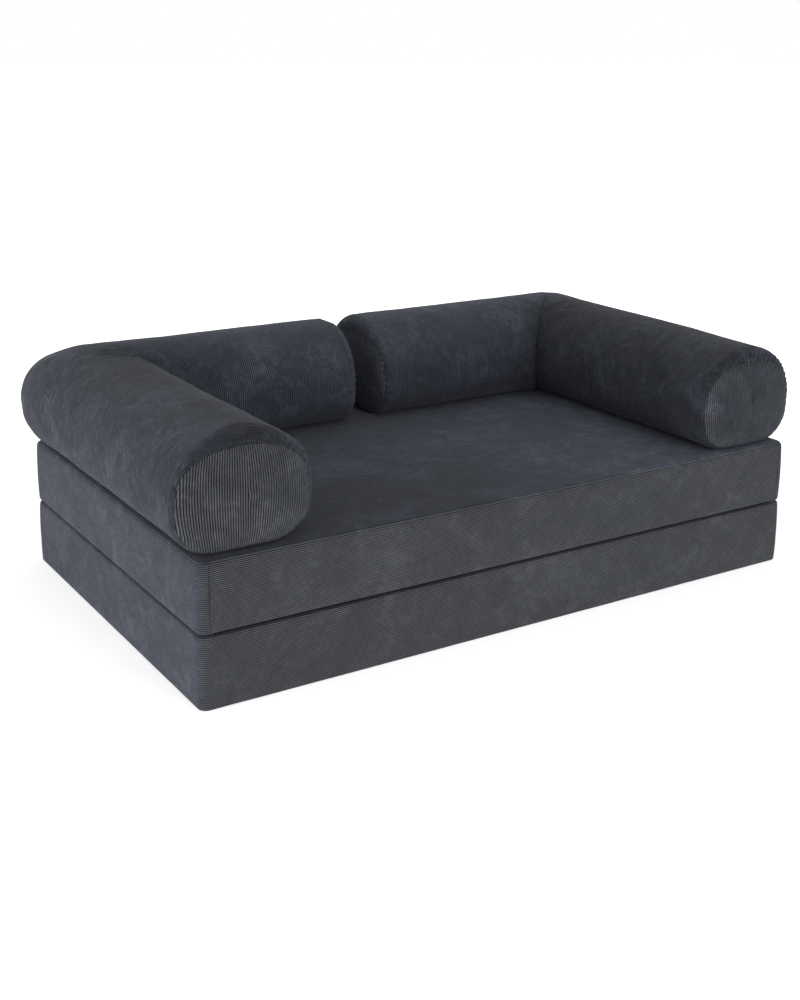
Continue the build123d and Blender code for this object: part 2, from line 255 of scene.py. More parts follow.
    # sewn lines: their distance is kept on the mesh, and the cloth sinks and darkens at them
    seamUv = addNode(m, "ShaderNodeUVMap", uv_map="seams")
    seamSplit = addNode(m, "ShaderNodeSeparateXYZ", {"Vector": seamUv.outputs["UV"]})
    rimSide = addNode(m, "ShaderNodeMath", {0: seamSplit.outputs["X"]}, operation="ABSOLUTE")
    cornerSide = addNode(m, "ShaderNodeMath", {0: seamSplit.outputs["Y"]}, operation="ABSOLUTE")
    nearest = addNode(m, "ShaderNodeMath", {0: rimSide.outputs[0], 1: cornerSide.outputs[0]}, operation="MINIMUM")
    stitch = addNode(m, "ShaderNodeMapRange", {
        "Value": nearest.outputs[0], "From Min": 0.0002, "From Max": 0.0026, "To Min": 1.0, "To Max": 0.0},
        interpolation_type="SMOOTHSTEP")
    sewn = addNode(m, "ShaderNodeMath", {0: stitch.outputs["Result"], 1: nap.outputs["Y"]}, operation="MULTIPLY")
    colour = addNode(m, "ShaderNodeMix",
        {"Factor": sewn.outputs[0], "A": napAndShaded.outputs["Result"], "B": srgb("#15171a")}, data_type="RGBA")
    groove = addNode(m, "ShaderNodeBump",
        {"Strength": 0.8, "Distance": 0.0015, "Height": sewn.outputs[0], "Normal": bump.outputs["Normal"]},
        invert=True)
    shader = addNode(m, "ShaderNodeBsdfPrincipled", {
        "Base Color": colour.outputs["Result"], "Roughness": 0.92, "Specular IOR Level": 0.25,
        "Sheen Weight": 0.3, "Sheen Roughness": 0.45, "Sheen Tint": srgb("#9599a1"),
        "Normal": groove.outputs["Normal"]})
    addNode(m, "ShaderNodeOutputMaterial", {"Surface": shader.outputs["BSDF"]})
    return m


def plainCloth(name, colour, threadsPerMetre, roughness):
    # Plain woven cloth: over-and-under threads, a small checker of light and dark
    m = newMaterial(name)
    place = addNode(m, "ShaderNodeTexCoord")
    split = addNode(m, "ShaderNodeSeparateXYZ", {"Vector": place.outputs["Object"]})
    waves = []
    for axis in "XY":
        turn = addNode(m, "ShaderNodeMath",
            {0: split.outputs[axis], 1: math.pi * threadsPerMetre}, operation="MULTIPLY")
        waves.append(addNode(m, "ShaderNodeMath", {0: turn.outputs[0]}, operation="SINE"))
    weaveHeight = addNode(m, "ShaderNodeMath", {0: waves[0].outputs[0], 1: waves[1].outputs[0]}, operation="MULTIPLY")
    tone = addNode(m, "ShaderNodeMapRange",
        {"Value": weaveHeight.outputs[0], "From Min": -1.0, "From Max": 1.0, "To Min": 0.6, "To Max": 1.15})
    shade = addNode(m, "ShaderNodeMix",
        {"Factor": 1.0, "A": srgb(colour), "B": tone.outputs["Result"]}, data_type="RGBA", blend_type="MULTIPLY")
    bump = addNode(m, "ShaderNodeBump", {"Strength": 0.5, "Distance": 0.0004, "Height": weaveHeight.outputs[0]})
    shader = addNode(m, "ShaderNodeBsdfPrincipled", {
        "Base Color": shade.outputs["Result"], "Roughness": roughness, "Specular IOR Level": 0.3,
        "Normal": bump.outputs["Normal"]})
    addNode(m, "ShaderNodeOutputMaterial", {"Surface": shader.outputs["BSDF"]})
    return m


def dottedCloth(name):
    # Polyester cloth with small rubber dots moulded on it, 6 mm apart
    m = newMaterial(name)
    place = addNode(m, "ShaderNodeTexCoord")
    dots = addNode(m, "ShaderNodeTexVoronoi", {"Vector": place.outputs["Object"], "Scale": 160.0, "Randomness": 0.0})
    dot = addNode(m, "ShaderNodeMapRange", {"Value": dots.outputs["Distance"], "From Min": 0.32, "From Max": 0.26})
    shade = addNode(m, "ShaderNodeMix",
        {"Factor": dot.outputs["Result"], "A": srgb("#2a2b2e"), "B": srgb("#131416")}, data_type="RGBA")
    bump = addNode(m, "ShaderNodeBump", {"Strength": 0.7, "Distance": 0.0006, "Height": dot.outputs["Result"]})
    shader = addNode(m, "ShaderNodeBsdfPrincipled",
        {"Base Color": shade.outputs["Result"], "Roughness": 0.7, "Normal": bump.outputs["Normal"]})
    addNode(m, "ShaderNodeOutputMaterial", {"Surface": shader.outputs["BSDF"]})
    return m


def foamMaterial(name):
    # Open-cell polyurethane foam: matt, pale, pitted with cells of about 1 mm
    m = newMaterial(name)
    place = addNode(m, "ShaderNodeTexCoord")
    cells = addNode(m, "ShaderNodeTexVoronoi", {"Vector": place.outputs["Object"], "Scale": 700.0})
    tone = addNode(m, "ShaderNodeValToRGB", {"Fac": cells.outputs["Distance"]})
    rampStops(tone, [(0.0, srgb("#cfc7ab")), (0.6, srgb("#efe9d3"))])
    bump = addNode(m, "ShaderNodeBump", {"Strength": 0.4, "Distance": 0.0006, "Height": cells.outputs["Distance"]})
    shader = addNode(m, "ShaderNodeBsdfPrincipled",
        {"Base Color": tone.outputs["Color"], "Roughness": 0.95, "Normal": bump.outputs["Normal"]})
    addNode(m, "ShaderNodeOutputMaterial", {"Surface": shader.outputs["BSDF"]})
    return m


def zipTapeMaterial(name):
    # Woven nylon tape whose coil teeth stand in a row every 1.6 mm
    m = newMaterial(name)
    place = addNode(m, "ShaderNodeTexCoord")
    split = addNode(m, "ShaderNodeSeparateXYZ", {"Vector": place.outputs["Object"]})
    toothPitch = 0.0016
    turn = addNode(m, "ShaderNodeMath", {0: split.outputs["X"], 1: 2 * math.pi / toothPitch}, operation="MULTIPLY")
    teeth = addNode(m, "ShaderNodeMath", {0: turn.outputs[0]}, operation="SINE")
    tone = addNode(m, "ShaderNodeMapRange",
        {"Value": teeth.outputs[0], "From Min": -1.0, "From Max": 1.0, "To Min": 0.35, "To Max": 1.2})
    shade = addNode(m, "ShaderNodeMix",
        {"Factor": 1.0, "A": srgb("#2b2e34"), "B": tone.outputs["Result"]}, data_type="RGBA", blend_type="MULTIPLY")
    bump = addNode(m, "ShaderNodeBump", {"Strength": 0.8, "Distance": 0.0006, "Height": teeth.outputs[0]})
    shader = addNode(m, "ShaderNodeBsdfPrincipled",
        {"Base Color": shade.outputs["Result"], "Roughness": 0.5, "Normal": bump.outputs["Normal"]})
    addNode(m, "ShaderNodeOutputMaterial", {"Surface": shader.outputs["BSDF"]})
    return m


def lacqueredZinc(name):
    # Die-cast zinc under black lacquer: satin, with a little bare wear
    m = newMaterial(name)
    place = addNode(m, "ShaderNodeTexCoord")
    wear = addNode(m, "ShaderNodeTexNoise", {"Vector": place.outputs["Object"], "Scale": 420.0, "Detail": 3.0})
    patchMask = addNode(m, "ShaderNodeMapRange", {"Value": wear.outputs["Fac"], "From Min": 0.62, "From Max": 0.75})
    shade = addNode(m, "ShaderNodeMix",
        {"Factor": patchMask.outputs["Result"], "A": srgb("#1b1c1f"), "B": srgb("#55585d")}, data_type="RGBA")
    rough = addNode(m, "ShaderNodeMapRange", {"Value": wear.outputs["Fac"], "To Min": 0.3, "To Max": 0.5})
    shader = addNode(m, "ShaderNodeBsdfPrincipled",
        {"Base Color": shade.outputs["Result"], "Roughness": rough.outputs["Result"], "Metallic": 0.6})
    addNode(m, "ShaderNodeOutputMaterial", {"Surface": shader.outputs["BSDF"]})
    return m


def setMaterial(obj, material):
    obj.data.materials.clear()
    obj.data.materials.append(material)


def smoothObject(name, bm):
    mesh = bpy.data.meshes.new(name)
    bm.to_mesh(mesh)
    bm.free()
    mesh.shade_smooth()
    obj = bpy.data.objects.new(name, mesh)
    bpy.context.scene.collection.objects.link(obj)
    return obj


def cutLoops(bm, axis, places):
    # a row of cuts across the whole mesh
    normal = [0, 0, 0]
    normal[axis] = 1
    for place in places:
        point = [0, 0, 0]
        point[axis] = place
        everything = bm.verts[:] + bm.edges[:] + bm.faces[:]
        bmesh.ops.bisect_plane(bm, geom=everything, dist=1e-6, plane_co=point, plane_no=normal)


def evenPlaces(low, high, step):
    count = max(1, round((high - low) / step))
    return [low + (high - low) * i / count for i in range(1, count)]


def weaveAndSeams(obj, describe):
    # five UV maps: metres across and along the ribs, metres from the two kinds of sewn line,
    # the pile's tone, which also carries painted light and shade, and the strength of the sewn line, how mottled and
    # how scuffed the pile is, and how warm the painted highlight on the rib crests is and how strong the painted
    # light and shade of the ribs are
    mesh = obj.data
    maps = [mesh.uv_layers.new(name=name) for name in ("weave", "seams", "nap", "brush", "ridges")]
    for polygon in mesh.polygons:
        for loop in polygon.loop_indices:
            co = mesh.vertices[mesh.loops[loop].vertex_index].co
            for uvMap, pair in zip(maps, describe(polygon, co)):
                uvMap.data[loop].uv = pair


def insideRim(x, y, halfX, halfY, corner):
    # how far a point lies inside the rounded outline
    qx, qy = abs(x) - (halfX - corner), abs(y) - (halfY - corner)
    return corner - (math.hypot(max(qx, 0), max(qy, 0)) + min(max(qx, qy), 0))


def makeSection(name, node, body, lowRound, highRound, crown, boxed, seed):
    low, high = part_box(node)
    halfX, halfY = high.x, high.y
    bottom, top = low.z, high.z - crown
    middle, halfHeight = (bottom + top) / 2, (top - bottom) / 2
    bm = bmesh.new()
    bmesh.ops.create_cube(bm, size=1.0)
    bmesh.ops.scale(bm, vec=(2 * halfX, 2 * halfY, top - bottom), verts=bm.verts)
    bmesh.ops.translate(bm, vec=(0, 0, middle), verts=bm.verts)
    upright = [e for e in bm.edges if abs(e.verts[0].co.z - e.verts[1].co.z) > 0.01]
    bmesh.ops.bevel(bm, geom=upright, offset=section["corner"], segments=6, profile=0.5, affect="EDGES", material=-1)
    for level, rounding in ((bottom, lowRound), (top, highRound)):
        rim = [e for e in bm.edges if all(abs(v.co.z - level) < 1e-5 for v in e.verts)]
        bmesh.ops.bevel(bm, geom=rim, offset=rounding, segments=4, profile=0.5, affect="EDGES", material=-1)
    grid = section["grid"]
    margin = section["margin"]
    seamX = halfX - section["seamInset"]
    cutLoops(bm, 0, evenPlaces(-halfX + margin, halfX - margin, grid) + [-seamX, seamX])
    cutLoops(bm, 1, evenPlaces(-halfY + margin, halfY - margin, grid))
    cutLoops(bm, 2, evenPlaces(bottom + lowRound, top - highRound, grid))
    zipLevel = middle
    cutLoops(bm, 2, [zipLevel + section["zipCut"] * step for step in (-2, -1, 0, 1, 2)])
    for v in bm.verts:
        t = (v.co.z - middle) / halfHeight
        draw = section["bulge"] * t * t
        x, y = v.co.x, v.co.y
        inside = insideRim(x, y, halfX, halfY, section["corner"])
        left, right = section["spread"]
        v.co.x = x * (halfX + (right if x > 0 else left) - draw) / halfX
        v.co.y = y * (halfY - draw) / halfY
        ripple = noise.noise(Vector((x * 4.5 + seed, y * 4.5, v.co.z * 9)))
        fine = noise.noise(Vector((x * 16 + seed, y * 16, v.co.z * 22)))
        if inside < section["sideBand"]:
            uneven = ripple * section["unevenness"] + fine * section["fineUnevenness"]
            swell = (1 - t * t) * (uneven - section["slack"])
            edgePull = -section["edgePull"] * max(0, fine) * t * t
            sideways = x / halfX if abs(x) > halfX - margin else 0
            outward = Vector((sideways, y / halfY if abs(y) > halfY - margin else 0, 0))
            if outward.length > 0:
                v.co += outward.normalized() * (swell + edgePull)
            if y > halfY - 0.02 and abs(x) < section["zipHalf"] and abs(v.co.z - zipLevel) < 0.0045:
                v.co.y -= section["zipGroove"]
            v.co.y = max(v.co.y, -halfY)      # both fronts meet when the bed is laid out
        elif crown and v.co.z > middle:
            d = math.hypot(max(abs(x) - section["crownHalf"], 0), y + halfY - section["crownLine"])
            rise = max(0, 1 - (d / section["crownFade"]) ** 2)
            uneven = ripple * section["seatRipple"] + fine * section["fineUnevenness"]
            v.co.z += crown * rise + min(1, 3 * rise) * uneven
    bmesh.ops.recalc_face_normals(bm, faces=bm.faces)
    obj = smoothObject(name, bm)

    def describe(polygon, co):
        t = (co.z - middle) / halfHeight
        left, right = section["spread"]
        x = co.x * halfX / (halfX + (right if co.x > 0 else left))
        edge = insideRim(x, co.y, halfX, halfY, section["corner"]) - section["bulge"] * t * t
        # the rim's sewn line lies half way round the edge, and is faint
        rim = (abs(co.z - middle) - halfHeight + edge) * slant
        n = polygon.normal
        share = section["ribShare"]
        if abs(n.z) > 0.72:
            # painted shadow: the seat is painted darker at the sitter's right than at the left, most of all in front,
            # where the bolster on that side casts its shadow
            side = min(1, max(0, (co.x + 0.35) / 0.8))
            front = min(1, max(0, (-0.05 - co.y) / 0.3)) * min(1, max(0, (0.3 - co.x) / 0.5))
            tone = (0.74 + 0.50 * side * side * (3 - 2 * side)) * (1 - 0.28 * front)
            return (co.y / share, co.x), (rim, 1.0), (tone, 0.06), (0.7, 0.0), (0.0, 0.55)
        # painted light: the end panels are painted lighter (1.06) than the fronts (0.96), the tone that the light
        # from the left gives the left end
        if abs(n.y) > abs(n.x):
            seam = abs(abs(x) - seamX)
            strength = 0.06 + 0.8 * max(0, 1 - seam / 0.02) if boxed else 0.06
            return (co.z / share, co.x), (rim, seam if boxed else 1.0), (0.96, strength), (0.42, 0.0), (1.0, 1.0)
        return (co.z / share, co.y), (rim, 1.0), (1.06, 0.06), (0.6, 0.2), (0.3, 0.9)

    weaveAndSeams(obj, describe)
    setMaterial(obj, corduroy)
    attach(obj, body)
    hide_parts(node)
    print(name, "made,", len(obj.data.polygons), "faces")


def sagged(angle, inset):
    # a point of the bolster's section on the ray at this angle: oval above the axis, fuller and flat below it
    half, crown, drop, sagRound = (bolster[k] - inset for k in ("half", "crown", "drop", "sagRound"))
    dx, dz = math.cos(angle), math.sin(angle)
    if dz >= 0:
        reach = 1 / math.hypot(dx / half, dz / crown)
        return reach * dx, reach * dz
    cx, cz = half - sagRound, -drop + sagRound
    if dx != 0 and abs(dz / dx) * half <= -cz:
        return math.copysign(half, dx), -abs(dz / dx) * half      # the straight side
    flatX = -drop / dz * dx
    if abs(flatX) <= cx:
        return flatX, -drop
    sx = math.copysign(cx, dx)
    b = sx * dx + cz * dz
    reach = b + math.sqrt(max(0, b * b - (cx * cx + cz * cz - sagRound * sagRound)))
    return reach * dx, reach * dz


def capSphere():
    # radius of the sphere that swells the caps
    return (bolster["half"] ** 2 + bolster["capBulge"] ** 2) / (2 * bolster["capBulge"])


def armStations(reach, length, inset):
    # stations of one line of the skin from the corner zone to near the middle of the cap:
    # each a place along the arm and a share of the section
    sphere, rounding = capSphere(), bolster["capRound"]
    centre = reach - (rounding - inset)
    rimStart = length - sphere + math.sqrt((sphere - rounding) ** 2 - centre ** 2)
    sweep = math.pi / 2 - math.asin(centre / (sphere - rounding))
    count = round((length - 0.03 - bolster["cornerZone"]) / bolster["rowStep"])
    zone = bolster["cornerZone"]
    stations = [(zone + (rimStart - zone) * i / count, 1.0) for i in range(1, count + 1)]
    for step in range(1, 6):
        turn = sweep * step / 5
        share = (centre + (rounding - inset) * math.cos(turn)) / reach
        stations.append((rimStart + (rounding - inset) * math.sin(turn), share))
    edge = stations[-1][1]
    for i in range(1, bolster["capRows"]):
        share = edge * (1 - i / bolster["capRows"])
        stations.append((length - sphere + math.sqrt((sphere - inset) ** 2 - (share * reach) ** 2), share))
    return stations


def armPlace(p):
    # where a point of the left bolster lies: along its arm, sideways with the outside positive, and which arm
    if p.x + p.y < 0:
        return -p.y, -p.x, 0
    return p.x, p.y, 1


def skinPlace(p, length, arm=None):
    # distance outside the bolster's own form, and signed distance from the cap's sewn rim (positive on the cap)
    along, lateral, nearArm = armPlace(p)
    if arm is not None and arm != nearArm:
        along, lateral = (-p.y, -p.x) if arm == 0 else (p.x, p.y)
    sphere, rounding, brow = capSphere(), bolster["capRound"], bolster["brow"]
    x, z = sagged(math.atan2(p.z, abs(lateral)), 0)
    reach = math.hypot(x, z)
    outside = math.hypot(lateral, p.z) - reach
    if p.x < 0 < p.y:      # the hip, softened
        swing = math.hypot(p.x, p.y)
        hx, hz = sagged(math.atan2(p.z, swing * bolster["half"] / bolster["hipReach"]), 0)
        hip = (math.hypot(swing * bolster["half"] / bolster["hipReach"], p.z) - math.hypot(hx, hz)) * 1.1
        blend = 0.030 * min(1, min(-p.x, p.y) / 0.07)
        u, v = outside + blend, hip + blend
        outside = math.hypot(u, v) - blend if u > 0 and v > 0 else max(outside, hip)
    beyond = math.sqrt(max(0, along - length + sphere) ** 2 + lateral ** 2 + p.z ** 2) - sphere
    u, v = outside + rounding, beyond + rounding
    distance = math.hypot(u, v) - rounding if u > 0 and v > 0 else max(outside, beyond)
    u, v = along - length + brow, p.z - bolster["crown"] + brow
    if u > 0 and v > 0:
        distance = max(distance, math.hypot(u, v) - brow)
    top = max(0, math.cos(min(math.pi / 2, abs(math.atan2(lateral, p.z)) * 1.15)))
    seamShare = 0.955 - 0.225 * top ** 1.5
    share = math.hypot(lateral, p.z) / reach
    rim = (seamShare - share) * reach - max(0, length - 0.02 - along)
    return distance, rim


def settle(obj, corner, lengths, target):
    # bring each point to its distance from the bolster's own form, along its normal
    for settleRound in range(3):
        normals = [v.normal.copy() for v in obj.data.vertices]
        for v, normal in zip(obj.data.vertices, normals):
            p = v.co - corner
            arm = armPlace(p)[2]
            v.co -= normal * max(-0.012, min(0.012, skinPlace(p, lengths[arm])[0] - target))
        obj.data.update()


def softHip(x, y, z):
    # draws a point of the outer corner in from the sharp mitre towards the softened hip
    if x >= 0 or y <= 0:
        return x, y, z
    turn, power = math.atan2(y, -x), 6.4
    reach = max(-x, y) * (math.cos(turn) ** power + math.sin(turn) ** power) ** (-1 / power)
    return -reach * math.cos(turn), reach * math.sin(turn), z


def bolsterShell(name, low, high, inset):
    # the left bolster's closed skin: both arms share the mitre's ring of points, turn round the outer corner
    # and run out to their swollen caps
    corner = Vector((low.x + bolster["half"], high.y - bolster["half"], low.z + bolster["drop"]))
    lengths = (corner.y - low.y, high.x - corner.x)
    around = bolster["around"]
    ring = [sagged(2 * math.pi * (j + 0.5) / around, inset) for j in range(around)]
    zone, zoneRows = bolster["cornerZone"], bolster["cornerRows"]
    bm = bmesh.new()
    mitre = [bm.verts.new(softHip(-lateral, lateral, height)) for lateral, height in ring]
    for arm, length in enumerate(lengths):
        rows = []
        for i in range(1, zoneRows + 1):
            # the rows fan out from the slanting mitre to a square ring at the end of the zone
            share = i / zoneRows
            rows.append([softHip(-lateral, (1 - share) * lateral - share * zone, height) for lateral, height in ring])
        lines = []
        for lateral, height in ring:
            stations = armStations(math.hypot(lateral, height), length, inset)
            lines.append([(-lateral * share, -place, height * share) for place, share in stations])
        rows += [list(row) for row in zip(*lines)]
        made = [mitre] + [[bm.verts.new(p if arm == 0 else (-p[1], -p[0], p[2])) for p in row] for row in rows]
        for near, far in zip(made, made[1:]):
            for j in range(around):
                k = (j + 1) % around
                bm.faces.new((near[j], near[k], far[k], far[j]))
        tip = bm.verts.new((0, inset - length, 0) if arm == 0 else (length - inset, 0, 0))
        for j in range(around):
            bm.faces.new((made[-1][j], made[-1][(j + 1) % around], tip))
    bmesh.ops.recalc_face_normals(bm, faces=bm.faces)
    bmesh.ops.translate(bm, vec=corner, verts=bm.verts)
    obj = smoothObject(name, bm)
    settle(obj, corner, lengths, -inset)
    return obj, corner, lengths


def applyModifiers(obj):
    # the evaluated mesh takes the place of the object's own
    depsgraph = bpy.context.evaluated_depsgraph_get()
    mesh = bpy.data.meshes.new_from_object(obj.evaluated_get(depsgraph))
    old = obj.data
    obj.modifiers.clear()
    obj.data = mesh
    bpy.data.meshes.remove(old)
    mesh.shade_smooth()


def puffUp(obj, held, pressure, cap):
    # cloth simulation: the cover fills out between its sewn lines, and no point moves by more than cap
    rest = [v.co.copy() for v in obj.data.vertices]
    sewn = obj.vertex_groups.new(name="sewn")
    sewn.add(held, 1.0, "REPLACE")
    cloth = obj.modifiers.new("cloth", "CLOTH")
    cloth.settings.quality = 5
    cloth.settings.mass = 0.3
    cloth.settings.tension_stiffness = 15
    cloth.settings.compression_stiffness = 10
    cloth.settings.shear_stiffness = 5
    cloth.settings.bending_stiffness = 0.4
    cloth.settings.shrink_min = -0.02
    cloth.settings.vertex_group_mass = "sewn"
    cloth.settings.use_pressure = True
    cloth.settings.uniform_pressure_force = pressure
    cloth.settings.effector_weights.gravity = 0
    scene = bpy.context.scene
    for number in range(1, 21):
        scene.frame_set(number)
    depsgraph = bpy.context.evaluated_depsgraph_get()
    puffed = obj.evaluated_get(depsgraph).data
    heights = []
    for before, after, v in zip(rest, puffed.vertices, obj.data.vertices):
        heights.append(min(cap, max(0.0, (after.co - before).dot(v.normal))))
    obj.modifiers.clear()
    obj.vertex_groups.clear()
    scene.frame_set(1)
    return heights


def subdivideOnce(obj):
    sub = obj.modifiers.new("subdivision", "SUBSURF")
    sub.levels = sub.render_levels = 1
    applyModifiers(obj)


def dressBolster(obj, corner, lengths, low, zipFace, seed, crumpled):
    # wrinkles at the inner corner, gathers along the sewn rims, soft lumps, the flat underside and the zip's
    # groove; the crumpled one of the pair, the left, has the deeper folds
    settle(obj, corner, lengths, 0.0)
    mesh = obj.data
    puff = [entry.value for entry in mesh.attributes["puff"].data]
    mesh.attributes.remove(mesh.attributes["puff"])
    normals = [v.normal.copy() for v in mesh.vertices]
    for v, normal, height in zip(mesh.vertices, normals, puff):
        p = v.co - corner
        along, lateral, arm = armPlace(p)
        rim = skinPlace(p, lengths[arm])[1]
        lump = noise.noise(v.co * 7 + Vector((seed, 0, 0)))
        small = noise.noise(v.co * 24 + Vector((0, seed, 0)))
        mitre = (p.x + p.y) * slant
        inner = (p.x - p.y) * slant
        notch = bolster["notch"] if crumpled else 0.0
        depth = min(1, max(0, (inner - notch) / 0.05))
        if abs(mitre) < 0.05:      # the crease runs out towards the top, on the left one sooner
            height += (bolster["swell"] - height) * (1 - depth)
        out = bolster["lump"] * lump + bolster["smallLump"] * small
        out = out + bolster["relief"] * (height - bolster["swell"]) + bolster["lift"]
        # gathers along the rim, strongest at the top of the cap
        turn = math.atan2(lateral, p.z)
        around = turn * bolster["crown"]
        top = max(0, math.cos(min(math.pi / 2, turn * 0.9 if turn > 0 else -turn * 0.6)))
        gathered = 0.1 + 0.6 * top * (0.8 + noise.noise(Vector((around * 9, seed * 2.1, arm * 5.0 + 0.5))))
        stray = 5 * noise.noise(Vector((around * 14, seed, arm)))
        pleat = math.sin(2 * math.pi * around / bolster["pleatPitch"] + stray)
        onArm = math.exp(-((rim + 0.008) / 0.013) ** 2)
        onCap = math.exp(-((rim - 0.006) / 0.008) ** 2)
        out += bolster["armPleat"] * pleat * gathered * onArm + bolster["capPleat"] * pleat * gathered * onCap
        # folds that run out from the top of the inner crease
        away = p - Vector(bolster["foldCentre"])
        d = away.length
        if d < 0.25 and p.z > 0.0:
            heading = math.atan2(away.y, away.x)
            fold = math.cos(heading * bolster["foldCount"] + 5 * noise.noise(Vector((heading * 2.5, d * 14, seed))))
            deep = bolster["foldDepth"][0 if crumpled else 1]
            deep *= min(1, max(0.15 * (d > 0.02), -mitre / 0.02)) * min(1, p.z / 0.05)
            out += deep * fold * math.exp(-((d - 0.065) / 0.045) ** 2) * (0.5 + 1.0 * abs(lump))
        ridge = math.exp(-((abs(mitre) - 0.022) / 0.014) ** 2)
        out += bolster["creaseRidge"] * ridge * min(1, max(0, (inner - notch - 0.02) / 0.06))
        # the stuffing stands fuller at the shoulder of the outer corner, and beside the side arm's cap
        if turn < math.pi / 2:
            shoulder = 0.75 * max(0, math.sin(turn)) ** 3 + 0.6 * max(0, math.sin(2 * turn)) ** 2
        else:
            shoulder = 0.75 * max(0, 1 - (turn - math.pi / 2) / 0.5)
        reach = min(1, max(0, 1 - along / 0.17))
        hip = shoulder * reach * reach * (3 - 2 * reach) * (1.0 if crumpled else 0.4)
        beside = max(0, 1 - abs((lengths[0] - 0.05 - along) / 0.10)) if arm == 0 and lateral < 0 else 0
        beside *= max(0, -math.sin(turn)) * min(1, max(0, 1 - abs(p.z) / 0.125) * 2)
        fill = bolster["hipFill"] * hip + bolster["capFill"] * beside * beside * (3 - 2 * beside)
        if arm == 0 and not crumpled:      # the right one has sunk a little at its front end
            ahead = min(1, max(0, (along - lengths[0] + 0.26) / 0.18))
            fill -= bolster["endSag"] * ahead * max(0, math.cos(turn)) ** 2
        v.co += normal * (min(max(out, bolster["thinnest"]), bolster["fullest"]) + fill)
        rise = v.co.z - low.z
        if rise < 0.02:
            v.co.z = low.z + 0.0003 + max(0, rise - 0.002) * 1.09
        # the zip on the back: the cloth is drawn flat beside it and sinks at the chain
        gap = abs(v.co.z - corner.z)
        reach = max(abs(v.co.x - bolster["zipMiddle"]) - bolster["zipHalf"], 0)
        if arm == 1 and v.co.y > zipFace - 0.03:
            near = max(0, 1 - gap / 0.045) * max(0, 1 - reach / 0.04)
            limit = zipFace - 0.0005 - 0.0018 * max(0, 1 - gap / 0.006) * (1 if reach < 0.001 else 0)
            if near > 0 and v.co.y > limit - 0.002:
                v.co.y += (limit - v.co.y) * min(1, near * 2)


